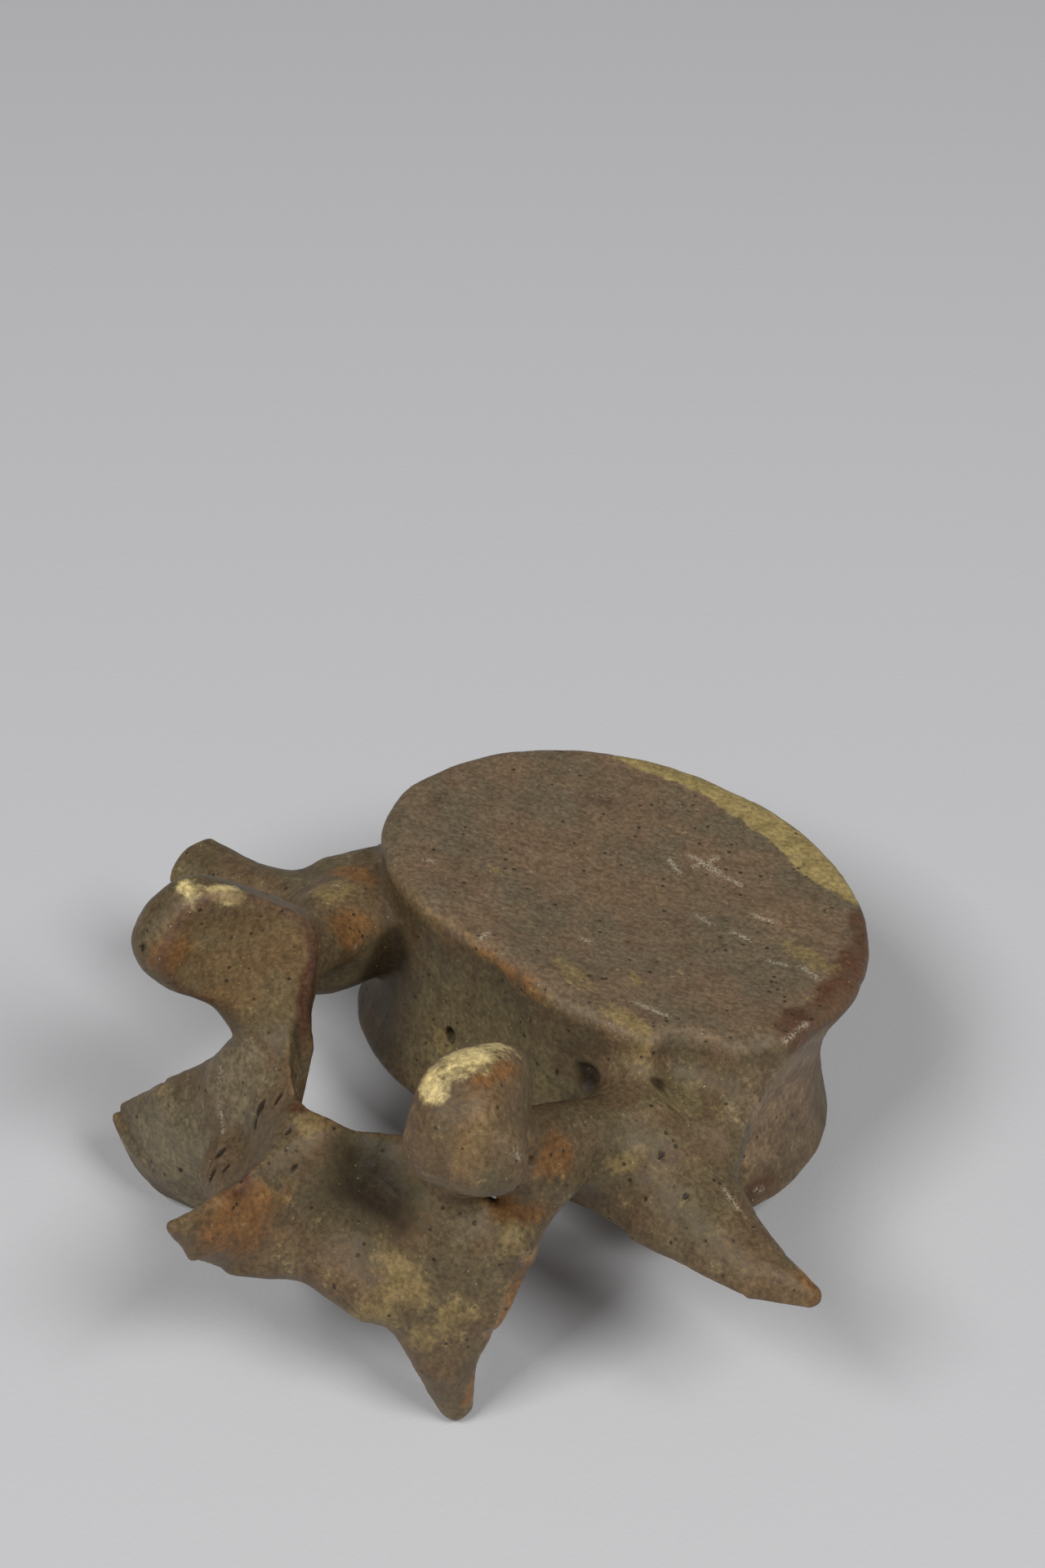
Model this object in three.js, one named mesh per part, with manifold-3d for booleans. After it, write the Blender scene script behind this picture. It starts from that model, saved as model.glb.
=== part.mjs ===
// A human lower lumbar vertebra, life size, in millimetres, lying as it rests on a level surface.
// The bone is shaped in its own axes: +X its right side, +Y its front, +Z its upper side, with
// the origin at the centre of the upper endplate. It is then tipped into its resting pose.
// The bone is one piece in life. Thin cuts part it where an anatomist names its regions.
import * as THREE from 'three';
import Module from 'manifold-3d';
import { mergeVertices } from 'three/addons/utils/BufferGeometryUtils.js';

// ---------- driving dimensions ----------
const CELL = 2.1; // spacing of the lattice the skin is drawn over
const CELL_MARGIN = 0.1; // keeps neighbouring skin points apart
const SIDE_CHANGE = 0.05; // depth given to a lattice corner that changes side
const CUT_GAP = 0.3; // width of the cuts between named regions
const DEGREE = Math.PI / 180;
const REST_PITCH = 12.2 * DEGREE; // front of the body tipped down
const REST_ROLL = -1.52 * DEGREE; // slight lean to one side

// The body: half widths, front and back depths at its upper and lower faces.
const BODY_HEIGHT = 23;
const BODY_WEDGE = 0.03; // extra height per millimetre towards the front
const UPPER_FACE = { side: 26.3, front: 24.0, back: 19.4 };
const LOWER_FACE = { side: 25.8, front: 24.0, back: 20.4 };
const WAIST = { side: 3.0, front: 2.8, back: 1.4 };
const WAIST_SHARPNESS = 1.3;
const FRONT_ROUNDNESS = 2.0;
const BACK_ROUNDNESS = 2.4;
const CANAL_HOLLOW = { depth: 1.3, halfWidth: 9 }; // shallow groove down the back of the body
const UPPER_DISH = 0.7;
const LOWER_DISH = 0.9;
const DISH_SPREAD = { side: 17, front: 14 };
const RIM_ROUNDING = 1.8;

// Limbs are chains of nodes: a centre, a half width and a half thickness.
const PARS = [
  node(14.9, -36.0, -3.2, 5.4, 3.2),
  node(11.6, -34.7, -10.2, 3.0, 2.4),
  node(12.0, -36.4, -16.2, 4.0, 2.6),
];
const LAMINA = [
  node(12.0, -35.7, -12.8, 4.8, 2.4),
  node(6.6, -38.7, -14.2, 6.5, 2.4),
  node(-0.5, -43.0, -15.2, 6.9, 2.5),
];
const LAMINA_LOWER_EDGE = [
  node(0, -45.0, -19.5, 3.6, 2.4),
  node(10.5, -42.0, -22.0, 3.2, 2.2),
];
const SPINE = [
  node(0, -42, -17.0, 7.4, 3.0),
  node(0, -49.0, -16.5, 5.9, 2.4),
  node(0, -54.0, -14.9, 3.5, 1.7),
  node(0, -58.3, -12.4, 0.7, 0.7),
];
const SPINE_LIP = { centre: vector(0.6, -47.6, -21.4), radii: vector(2.0, 3.2, 1.2) };

// The two sides differ: the left lower facet is a broad lobe, the right one a narrow point.
const RIGHT_SIDE = {
  pedicle: [
    node(19.5, -12, -9.8, 5.0, 4.8),
    node(18.8, -22, -7.9, 3.8, 3.6),
    node(16.8, -31, -6.4, 3.8, 4.3),
  ],
  parsEdge: [node(19.6, -30.0, -8.2, 2.2, 2.4), node(19.2, -33.2, -13.4, 2.6, 1.8)],
  transverse: [
    node(21.5, -17.5, -10.6, 8.4, 6.0),
    node(27, -19.6, -11.2, 5.8, 4.4),
    node(33, -20.5, -11.2, 4.1, 2.9),
    node(38.2, -20.9, -11.4, 2.8, 1.9),
    node(42.9, -19.1, -12.0, 1.1, 0.9),
  ],
  buttress: [node(22.0, -5.0, -5.0, 4.0, 2.4), node(24.6, -13.0, -9.5, 4.0, 2.8)],
  inferior: [
    node(15.0, -35.6, -15.5, 6.8, 2.9),
    node(15.6, -38.0, -22, 6.0, 2.8),
    node(16.8, -37.6, -28.8, 3.3, 2.4),
    node(17.5, -35.6, -35.4, 1.8, 1.6),
  ],
  inferiorWide: vector(0.78, 0.6, 0.16),
  superior: { centre: vector(16.0, -39.3, 2.7), radii: vector(8.0, 5.4, 6.7) },
  superiorTop: { at: vector(13.6, -40.0, 8.0), upward: vector(-0.67, 0.2, 0.71) },
  knob: { centre: vector(20.6, -41.2, 1.6), radii: vector(3.8, 3.2, 3.8) },
  facet: { centre: vector(-4.3, -47.1, 2), radii: vector(19, 19, 24) },
};
const LEFT_SIDE = {
  pedicle: [
    node(19.5, -12, -9.8, 5.0, 4.8),
    node(18.8, -22, -6.9, 3.8, 2.5),
    node(16.4, -31, -5.4, 3.6, 3.0),
  ],
  parsEdge: [node(14.2, -33.0, -5.0, 2.8, 2.4), node(12.8, -35.6, -12.0, 2.4, 2.0)],
  transverse: [
    node(21.0, -18, -10.6, 7.2, 5.4),
    node(27.0, -19.2, -10.8, 4.8, 3.8),
    node(33, -20.2, -11.4, 3.8, 2.8),
    node(40.0, -20.6, -11.4, 3.3, 1.4),
  ],
  buttress: [node(20.5, -8.0, -7.0, 3.4, 2.2), node(25.2, -14.2, -9.4, 3.2, 2.2)],
  inferior: [
    node(13.0, -36.8, -15.5, 3.8, 2.8),
    node(17.0, -38.3, -23.2, 6.4, 2.9),
    node(20.8, -37.6, -30.2, 8.2, 2.8),
    node(22.2, -36.6, -33.4, 6.0, 2.4),
  ],
  inferiorWide: vector(0.97, -0.1, -0.2),
  superior: { centre: vector(16.0, -38.4, 2.0), radii: vector(8.8, 4.3, 7.0) },
  superiorTop: { at: vector(17.0, -41.8, 9.6), upward: vector(0.05, 0.5, 0.8) },
  knob: { centre: vector(19.0, -43.6, 2.2), radii: vector(2.8, 3.0, 3.0) },
  facet: { centre: vector(-2.6, -47.2, 2), radii: vector(19, 19, 24) },
};

// Directions the flat limbs are widest in.
const PEDICLE_WIDE = vector(1, 0, 0);
const TRANSVERSE_WIDE = vector(0, 0.9, 0.42);
const BUTTRESS_WIDE = vector(0.4, 0.3, 0.86);
const PARS_WIDE = vector(0.8, -0.55, 0.1);
const LAMINA_WIDE = vector(0, 0.3, 1);
const LOWER_EDGE_WIDE = vector(0, 0.25, 1);
const SPINE_WIDE = vector(0, 0.12, 1);
const LEVEL_AXES = [vector(1, 0, 0), vector(0, 1, 0), vector(0, 0, 1)];
const SUPERIOR_AXES = [vector(0.45, -0.88, 0.16), vector(0.89, 0.45, 0), vector(0, 0.16, 1)];

// Section powers: 2 is an ellipse, below it the edges sharpen, above it the sides fill out.
const ELLIPSE = 2;
const LENS = 1.65;
const PLATE = 2.3;
const DIAMOND = 1.35;

// Hollows: the waist beside the body, and the peak of the canal under the laminae.
const WALL_SCOOP = { centre: vector(36.2, 3.5, -11.5), radii: vector(13.4, 20.5, 10.0) };
const CANAL_APEX = { centre: vector(-0.8, -34.6, -7.0), radii: vector(9.2, 6.8, 13.0) };

// Softness of the joins between limbs, and of the edges of hollows.
const JOIN = {
  transverse: 4.5,
  buttress: 3.5,
  superior: 4,
  pars: 3.5,
  parsEdge: 2.5,
  lamina: 3,
  inferior: 3.5,
};
const KNOB_JOIN = 2;
const TOP_EDGE = 2.4;
const FACET_EDGE = 0.7;
const MIDLINE_JOIN = 3;
const LIP_JOIN = 1.5;
const SPINE_JOIN = 3.5;
const APEX_EDGE = 0.5;
const BODY_JOIN = { base: 3.6, sideChange: 1.2, overWidth: 15 };
const SCOOP_EDGE = 0.6;

const SPACE = new THREE.Box3(vector(-46, -64, -40), vector(48, 30, 13));

// Cuts between regions of the right side: a point, the way the cut faces, and the half length
// along its other two directions. The left side takes the mirror image of each.
const CUTS = [
  cut(vector(20.3, -14.9, -8), vector(0.731, -0.682, 0), 15, 16), // body from pedicle and process
  cut(vector(25.0, -21.5, -10), vector(1, 0, 0), 12, 12), // transverse process from pedicle
  cut(vector(16.5, -29.5, -4), vector(0, 1, 0), 10, 15), // pedicle from joint pillar
  cut(vector(16.5, -39.5, -6.5), vector(0, 0, 1), 10, 10), // upper facet from lamina
  cut(vector(15.0, -39.5, -21), vector(0.64, 0, -0.77), 14, 10.3), // lower facet from lamina
  cut(vector(3.6, -47, -15), vector(1, 0, 0), 14, 14), // lamina from spinous process
];

// A point inside each named region of the right side, or on the midline.
const SIDE_REGIONS = {
  pedicle: vector(18.4, -24, -9),
  superior_articular_process: vector(18.5, -40, 0),
  transverse_process: vector(31, -20, -11),
  lamina: vector(9, -37.5, -14),
  inferior_articular_process: vector(17, -38, -27),
};
const MIDLINE_REGIONS = {
  centrum: vector(0, 0, -12),
  spinous_process: vector(0, -49, -16),
};

// ---------- small helpers ----------
function vector(x, y, z) {
  return new THREE.Vector3(x, y, z);
}

function node(x, y, z, wide, thick) {
  return { at: vector(x, y, z), wide, thick };
}

function cut(at, facing, halfRun, halfRise) {
  return { at, facing, halfRun, halfRise };
}

function mirrored(v, side) {
  return vector(side * v.x, v.y, v.z);
}

// Smooth union and smooth cut of two distances, blended over the given width.
function blend(a, b, width) {
  const share = THREE.MathUtils.clamp(0.5 + (0.5 * (b - a)) / width, 0, 1);
  return b * (1 - share) + a * share - width * share * (1 - share);
}

function carve(a, b, width) {
  return -blend(-a, -b, width);
}

// Distance to a rounded solid, from the offsets along its axes, its radii and its power.
function roundDistance(u, v, w, a, b, c, power) {
  const [s, t, r] = [Math.abs(u) / a + 1e-6, Math.abs(v) / b + 1e-6, Math.abs(w) / c + 1e-6];
  const reach = (s ** power + t ** power + r ** power) ** (1 / power);
  const fall = power - 1;
  const slope = Math.hypot(s ** fall / a, t ** fall / b, r ** fall / c);
  return ((reach - 1) * reach ** fall) / slope;
}

// ---------- limbs ----------
// A chain of flattened rods through the nodes, widest along the given direction.
function limb(nodes, wideHint, power) {
  const rods = [];
  for (let i = 1; i < nodes.length; i += 1) {
    const from = nodes[i - 1];
    const to = nodes[i];
    const run = to.at.clone().sub(from.at);
    const length = run.length();
    const along = run.divideScalar(length);
    const wide = wideHint.clone().addScaledVector(along, -wideHint.dot(along)).normalize();
    const thick = along.clone().cross(wide);
    rods.push({ from, to, length, along, wide, thick });
  }
  const offset = vector(0, 0, 0);
  return (p) => {
    let nearest = Infinity;
    for (const rod of rods) {
      offset.copy(p).sub(rod.from.at);
      const run = offset.dot(rod.along);
      const share = THREE.MathUtils.clamp(run / rod.length, 0, 1);
      const wide = THREE.MathUtils.lerp(rod.from.wide, rod.to.wide, share);
      const thick = THREE.MathUtils.lerp(rod.from.thick, rod.to.thick, share);
      const past = run - share * rod.length;
      const u = offset.dot(rod.wide);
      const v = offset.dot(rod.thick);
      const end = Math.min(wide, thick);
      const distance = roundDistance(u, v, past, wide, thick, end, power);
      nearest = Math.min(nearest, distance);
    }
    return nearest;
  };
}

function lump({ centre, radii }, axes, power) {
  const offset = vector(0, 0, 0);
  const [a, b, c] = axes.map((axis) => axis.clone().normalize());
  return (p) => {
    offset.copy(p).sub(centre);
    const [u, v, w] = [offset.dot(a), offset.dot(b), offset.dot(c)];
    return roundDistance(u, v, w, radii.x, radii.y, radii.z, power);
  };
}

// ---------- the body of the vertebra ----------
function faceSize(share, key) {
  const waist = WAIST[key] * Math.sin(Math.PI * share) ** WAIST_SHARPNESS;
  return THREE.MathUtils.lerp(UPPER_FACE[key], LOWER_FACE[key], share) - waist;
}

function body(p) {
  const height = BODY_HEIGHT + BODY_WEDGE * p.y;
  const share = THREE.MathUtils.clamp(-p.z / height, 0, 1);
  const front = p.y > 0;
  const side = faceSize(share, 'side');
  const depth = faceSize(share, front ? 'front' : 'back');
  const power = front ? FRONT_ROUNDNESS : BACK_ROUNDNESS;
  const sum = (Math.abs(p.x) / side) ** power + (Math.abs(p.y) / depth) ** power;
  const reach = Math.max(sum ** (1 / power), 1e-6);
  const radius = Math.hypot(p.x, p.y) + 1e-9;
  const groove = front ? 0 : CANAL_HOLLOW.depth * Math.exp(-((p.x / CANAL_HOLLOW.halfWidth) ** 2));
  const wall = ((reach - 1) * radius) / reach + groove;
  const spread = (p.x / DISH_SPREAD.side) ** 2 + (p.y / DISH_SPREAD.front) ** 2;
  const dish = Math.exp(-(spread ** 2));
  const upper = p.z + UPPER_DISH * dish;
  const lower = -(p.z + height) + LOWER_DISH * dish;
  return carve(wall, Math.max(upper, lower), RIM_ROUNDING);
}

// ---------- the arch ----------
function upperJoint(side) {
  const plate = lump(side.superior, SUPERIOR_AXES, PLATE);
  const knob = lump(side.knob, LEVEL_AXES, ELLIPSE);
  const { at, upward } = side.superiorTop;
  const normal = upward.clone().normalize();
  return (p) => carve(blend(plate(p), knob(p), KNOB_JOIN), normal.dot(p) - normal.dot(at), TOP_EDGE);
}

function archSide(side) {
  const pedicle = limb(side.pedicle, PEDICLE_WIDE, ELLIPSE);
  const upper = [
    [limb(side.transverse, TRANSVERSE_WIDE, LENS), JOIN.transverse],
    [limb(side.buttress, BUTTRESS_WIDE, ELLIPSE), JOIN.buttress],
    [upperJoint(side), JOIN.superior],
    [limb(PARS, PARS_WIDE, ELLIPSE), JOIN.pars],
    [limb(side.parsEdge, PARS_WIDE, ELLIPSE), JOIN.parsEdge],
  ];
  const facet = lump(side.facet, LEVEL_AXES, ELLIPSE);
  const lower = [
    [limb(LAMINA, LAMINA_WIDE, LENS), JOIN.lamina],
    [limb(LAMINA_LOWER_EDGE, LOWER_EDGE_WIDE, LENS), JOIN.lamina],
    [limb(side.inferior, side.inferiorWide, LENS), JOIN.inferior],
  ];
  return (p) => {
    const join = (sum, [shape, width]) => blend(sum, shape(p), width);
    const hollowed = carve(upper.reduce(join, pedicle(p)), -facet(p), FACET_EDGE);
    return lower.reduce(join, hollowed);
  };
}

function wholeArch() {
  const right = archSide(RIGHT_SIDE);
  const left = archSide(LEFT_SIDE);
  const spine = limb(SPINE, SPINE_WIDE, LENS);
  const lip = lump(SPINE_LIP, LEVEL_AXES, ELLIPSE);
  const apex = lump(CANAL_APEX, LEVEL_AXES, DIAMOND);
  return (p) => {
    const sides = blend(right(p), left(mirrored(p, -1)), MIDLINE_JOIN);
    const arch = blend(sides, blend(spine(p), lip(p), LIP_JOIN), SPINE_JOIN);
    return carve(arch, -apex(p), APEX_EDGE);
  };
}

function wholeBone() {
  const arch = wholeArch();
  const scoop = lump(WALL_SCOOP, LEVEL_AXES, ELLIPSE);
  return (p) => {
    const lean = THREE.MathUtils.clamp(p.x / BODY_JOIN.overWidth, -1, 1);
    const solid = blend(body(p), arch(p), BODY_JOIN.base + BODY_JOIN.sideChange * lean);
    return carve(solid, -scoop(vector(Math.abs(p.x), p.y, p.z)), SCOOP_EDGE);
  };
}

// ---------- the skin drawn over a shape ----------
function sampleLattice(shape) {
  const size = SPACE.getSize(vector(0, 0, 0)).divideScalar(CELL);
  const counts = [size.x, size.y, size.z].map((n) => Math.ceil(n) + 1);
  const [nx, ny, nz] = counts;
  const values = new Float64Array(nx * ny * nz);
  const p = vector(0, 0, 0);
  for (let k = 0; k < nz; k += 1) {
    for (let j = 0; j < ny; j += 1) {
      for (let i = 0; i < nx; i += 1) {
        p.set(i, j, k).multiplyScalar(CELL).add(SPACE.min);
        values[i + nx * (j + ny * k)] = shape(p);
      }
    }
  }
  return { values, counts, strides: [1, nx, nx * ny] };
}

// Where inside and outside alternate round a lattice face, the corner nearest the skin changes
// side, so the skin never touches itself along an edge.
function clearTouches({ values, strides }) {
  let touches = 0;
  for (let at = 0; at + strides[1] + strides[2] < values.length; at += 1) {
    for (let axis = 0; axis < 3; axis += 1) {
      const [b, c] = [strides[(axis + 1) % 3], strides[(axis + 2) % 3]];
      const corners = [at, at + b, at + b + c, at + c];
      const [p, q, r, s] = corners.map((corner) => values[corner] < 0);
      if (p === r && q === s && p !== q) {
        corners.sort((m, n) => Math.abs(values[m]) - Math.abs(values[n]));
        values[corners[0]] = values[corners[0]] < 0 ? SIDE_CHANGE : -SIDE_CHANGE;
        touches += 1;
      }
    }
  }
  return touches;
}

// The mean of the crossings on the edges of one lattice cell, or null away from the skin.
function cellCrossing(lattice, cell) {
  const { values, strides } = lattice;
  const base = cell[0] * strides[0] + cell[1] * strides[1] + cell[2] * strides[2];
  const sum = vector(0, 0, 0);
  let found = 0;
  for (let axis = 0; axis < 3; axis += 1) {
    const [b, c] = [(axis + 1) % 3, (axis + 2) % 3];
    for (let corner = 0; corner < 4; corner += 1) {
      const offset = [0, 0, 0];
      offset[b] = corner & 1;
      offset[c] = corner >> 1;
      const start = base + offset[b] * strides[b] + offset[c] * strides[c];
      const [inner, outer] = [values[start], values[start + strides[axis]]];
      if (inner < 0 !== outer < 0) {
        offset[axis] = inner / (inner - outer);
        sum.add(vector(...offset));
        found += 1;
      }
    }
  }
  return found ? sum.divideScalar(found).add(vector(...cell)) : null;
}

// Moves a point onto the zero of the shape without letting it leave its own lattice cell.
function settle(shape, point, cell) {
  const step = 0.05;
  const slope = vector(0, 0, 0);
  const probe = vector(0, 0, 0);
  for (let turn = 0; turn < 3; turn += 1) {
    const value = shape(point);
    for (const axis of ['x', 'y', 'z']) {
      probe.copy(point)[axis] += step;
      slope[axis] = (shape(probe) - value) / step;
    }
    point.addScaledVector(slope, -value / Math.max(slope.lengthSq(), 0.1));
  }
  return point.clamp(cell.min, cell.max);
}

function latticePoints(shape, lattice) {
  const [nx, ny, nz] = lattice.counts;
  const ids = new Int32Array(lattice.values.length).fill(-1);
  const points = [];
  for (let k = 0; k < nz - 1; k += 1) {
    for (let j = 0; j < ny - 1; j += 1) {
      for (let i = 0; i < nx - 1; i += 1) {
        const crossing = cellCrossing(lattice, [i, j, k]);
        if (crossing) {
          ids[i + nx * (j + ny * k)] = points.length;
          const corner = vector(i, j, k).multiplyScalar(CELL).add(SPACE.min);
          const far = corner.clone().addScalar(CELL);
          const cell = new THREE.Box3(corner, far).expandByScalar(-CELL_MARGIN);
          points.push(settle(shape, crossing.multiplyScalar(CELL).add(SPACE.min), cell));
        }
      }
    }
  }
  return { ids, points };
}

// Two triangles for each lattice edge the skin crosses, split along the shorter diagonal.
function latticeFaces(lattice, ids, points) {
  const { values, counts, strides } = lattice;
  const faces = [];
  for (let at = 0; at < values.length; at += 1) {
    const where = strides.map((stride, axis) => Math.floor(at / stride) % counts[axis]);
    for (let axis = 0; axis < 3; axis += 1) {
      const [b, c] = [(axis + 1) % 3, (axis + 2) % 3];
      const next = at + strides[axis];
      const inside = values[at] < 0;
      if (where[axis] < counts[axis] - 1 && where[b] && where[c] && inside !== values[next] < 0) {
        const ring = [at - strides[b] - strides[c], at - strides[c], at, at - strides[b]];
        const quad = ring.map((cell) => ids[cell]);
        if (!inside) quad.reverse();
        const [p, q, r, s] = quad.map((id) => points[id]);
        const order = p.distanceTo(r) < q.distanceTo(s) ? [0, 1, 2, 0, 2, 3] : [1, 2, 3, 1, 3, 0];
        faces.push(...order.map((corner) => quad[corner]));
      }
    }
  }
  return faces;
}

function skin(shape) {
  const lattice = sampleLattice(shape);
  while (clearTouches(lattice) > 0);
  const { ids, points } = latticePoints(shape, lattice);
  const geometry = new THREE.BufferGeometry();
  geometry.setFromPoints(points);
  geometry.setIndex(latticeFaces(lattice, ids, points));
  return geometry;
}

// ---------- solids ----------
const wasm = await Module();
wasm.setup();

function toSolid(geometry) {
  const plain = geometry.clone();
  plain.deleteAttribute('normal');
  plain.deleteAttribute('uv');
  const merged = mergeVertices(plain);
  const vertProperties = new Float32Array(merged.attributes.position.array);
  const triVerts = new Uint32Array(merged.index.array);
  return new wasm.Manifold(new wasm.Mesh({ numProp: 3, vertProperties, triVerts }));
}

function toGeometry(solid) {
  const mesh = solid.getMesh();
  const geometry = new THREE.BufferGeometry();
  geometry.setAttribute('position', new THREE.BufferAttribute(mesh.vertProperties, 3));
  geometry.setIndex(new THREE.BufferAttribute(mesh.triVerts, 1));
  geometry.computeVertexNormals();
  return geometry;
}

// A thin slab at a cut, on the right side (1) or mirrored to the left (-1).
function cutSolid({ at, facing, halfRun, halfRise }, side) {
  const slab = new THREE.BoxGeometry(CUT_GAP, 2 * halfRun, 2 * halfRise);
  const across = mirrored(facing, side).normalize();
  const upright = Math.abs(across.z) < 0.5 ? vector(0, 0, 1) : vector(0, 1, 0);
  const run = upright.clone().cross(across).normalize();
  const rise = across.clone().cross(run);
  slab.applyMatrix4(new THREE.Matrix4().makeBasis(across, run, rise));
  const centre = mirrored(at, side);
  slab.translate(centre.x, centre.y, centre.z);
  return toSolid(slab);
}

function regionPoints() {
  const named = Object.entries(MIDLINE_REGIONS).map(([name, point]) => ({ name, point }));
  for (const [name, point] of Object.entries(SIDE_REGIONS)) {
    named.push({ name: `${name}_right`, point });
    named.push({ name: `${name}_left`, point: mirrored(point, -1) });
  }
  return named;
}

// The region whose marker point is nearest to the middle of a piece.
function regionName(piece) {
  const { min, max } = piece.boundingBox();
  const middle = vector(...min).add(vector(...max)).divideScalar(2);
  const ranked = regionPoints().map(({ name, point }) => ({ name, gap: point.distanceTo(middle) }));
  ranked.sort((a, b) => a.gap - b.gap);
  return ranked[0].name;
}

// ---------- assembly ----------
function boneMaterial() {
  return new THREE.MeshStandardMaterial({ color: 0x6b5a4c, roughness: 0.55, metalness: 0 });
}

function restingPose() {
  const roll = new THREE.Matrix4().makeRotationY(REST_ROLL);
  const pitch = new THREE.Matrix4().makeRotationX(-REST_PITCH);
  return pitch.multiply(roll);
}

function buildVertebra() {
  let bone = toSolid(skin(wholeBone()));
  for (const line of CUTS) {
    bone = bone.subtract(cutSolid(line, 1)).subtract(cutSolid(line, -1));
  }
  const group = new THREE.Group();
  group.name = 'lumbar_vertebra';
  for (const piece of bone.decompose()) {
    const geometry = toGeometry(piece).applyMatrix4(restingPose());
    const mesh = new THREE.Mesh(geometry, boneMaterial());
    mesh.name = regionName(piece);
    group.add(mesh);
  }
  const box = new THREE.Box3().setFromObject(group);
  const middle = box.getCenter(vector(0, 0, 0));
  for (const mesh of group.children) {
    mesh.geometry.translate(-middle.x, -middle.y, -box.min.z);
  }
  return group;
}

export default buildVertebra();
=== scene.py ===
import itertools
import math

import bpy
import numpy as np
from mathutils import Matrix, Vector


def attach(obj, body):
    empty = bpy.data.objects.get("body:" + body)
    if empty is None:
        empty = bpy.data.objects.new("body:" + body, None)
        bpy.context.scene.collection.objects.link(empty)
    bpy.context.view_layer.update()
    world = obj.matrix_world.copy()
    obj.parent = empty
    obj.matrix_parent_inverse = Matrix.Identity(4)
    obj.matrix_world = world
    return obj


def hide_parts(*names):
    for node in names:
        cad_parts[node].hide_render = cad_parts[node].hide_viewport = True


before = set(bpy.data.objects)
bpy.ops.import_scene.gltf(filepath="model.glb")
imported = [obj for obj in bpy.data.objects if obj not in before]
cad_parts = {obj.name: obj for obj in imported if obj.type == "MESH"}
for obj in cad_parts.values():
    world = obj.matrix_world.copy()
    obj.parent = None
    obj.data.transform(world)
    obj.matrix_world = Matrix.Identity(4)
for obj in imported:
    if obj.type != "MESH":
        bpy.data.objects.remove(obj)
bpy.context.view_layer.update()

MILLIMETRE = 0.001

# The bone is shaped in millimetres in its own axes: +X its right side, +Y its front, +Z its
# upper side, with the origin at the centre of the upper endplate. These sizes are the CAD's.
REST_PITCH = math.radians(12.2)  # front of the body tipped down
REST_ROLL = math.radians(-1.52)  # slight lean to one side
TO_FLOOR = np.array([-1.2245, 18.4453, 27.9375])  # sets the tipped bone down on the floor
BODY_HEIGHT = 23.0
BODY_WEDGE = 0.03  # extra height per millimetre towards the front
UPPER_FACE = dict(side=26.3, front=24.0, back=19.4)
LOWER_FACE = dict(side=25.8, front=24.0, back=20.4)
WAIST = dict(side=3.0, front=2.8, back=1.4)
WAIST_SHARPNESS = 1.3
FRONT_ROUNDNESS = 2.0
BACK_ROUNDNESS = 2.4
CANAL_HOLLOW = dict(depth=1.3, half_width=9)  # shallow groove down the back of the body
UPPER_DISH = 0.7
LOWER_DISH = 0.9
DISH_SPREAD = dict(side=17, front=14)
RIM_ROUNDING = 1.8


# ---------------------------------------------------------------- distances
def blend(a, b, width):
    """Smooth union of two distances."""
    share = np.clip(0.5 + 0.5 * (b - a) / width, 0, 1)
    return b * (1 - share) + a * share - width * share * (1 - share)


def carve(a, b, width):
    """Smooth overlap of two distances."""
    return -blend(-a, -b, width)


def round_distance(offsets, radii, power):
    """Distance to a rounded solid: an ellipsoid at power 2, with sharper edges below 2."""
    shares = [np.abs(u) / a + 1e-6 for u, a in zip(offsets, radii)]
    reach = sum(share**power for share in shares) ** (1 / power)
    slope = np.sqrt(sum((share ** (power - 1) / a) ** 2 for share, a in zip(shares, radii)))
    return (reach - 1) * reach ** (power - 1) / slope


def unit(v):
    v = np.asarray(v, float)
    return v / np.linalg.norm(v)


def limb(p, nodes, wide_hint, power=2.0):
    """A chain of flattened rods. A node is x, y, z, half width and half thickness."""
    nearest = None
    for start, end in zip(nodes[:-1], nodes[1:]):
        start, end = np.array(start, float), np.array(end, float)
        run = end[:3] - start[:3]
        length = np.linalg.norm(run)
        along = run / length
        wide = unit(np.array(wide_hint) - np.dot(wide_hint, along) * along)
        thick = np.cross(along, wide)
        offset = p - start[:3]
        run_at = offset @ along
        share = np.clip(run_at / length, 0, 1)
        a = start[3] + (end[3] - start[3]) * share
        b = start[4] + (end[4] - start[4]) * share
        past = run_at - share * length
        offsets = (offset @ wide, offset @ thick, past)
        rod = round_distance(offsets, (a, b, np.minimum(a, b)), power)
        nearest = rod if nearest is None else np.minimum(nearest, rod)
    return nearest


def lump(p, centre, radii, axes=((1, 0, 0), (0, 1, 0), (0, 0, 1)), power=2.0):
    offset = p - np.array(centre, float)
    return round_distance([offset @ unit(axis) for axis in axes], radii, power)


# ---------------------------------------------------------------- the bone's main shape
PARS = [
    (14.9, -36.0, -3.2, 5.4, 3.2),
    (11.6, -34.7, -10.2, 3.0, 2.4),
    (12.0, -36.4, -16.2, 4.0, 2.6),
]
LAMINA = [
    (12.0, -35.7, -12.8, 4.8, 2.4),
    (6.6, -38.7, -14.2, 6.5, 2.4),
    (-0.5, -43.0, -15.2, 6.9, 2.5),
]
LAMINA_LOWER_EDGE = [(0, -45.0, -19.5, 3.6, 2.4), (10.5, -42.0, -22.0, 3.2, 2.2)]
SPINE = [
    (0, -42, -17.0, 7.4, 3.0),
    (0, -49.0, -16.5, 5.9, 2.4),
    (0, -54.0, -14.9, 3.5, 1.7),
    (0, -58.3, -12.4, 0.7, 0.7),
]
SPINE_LIP = ((0.6, -47.6, -21.4), (2.0, 3.2, 1.2))
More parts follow.
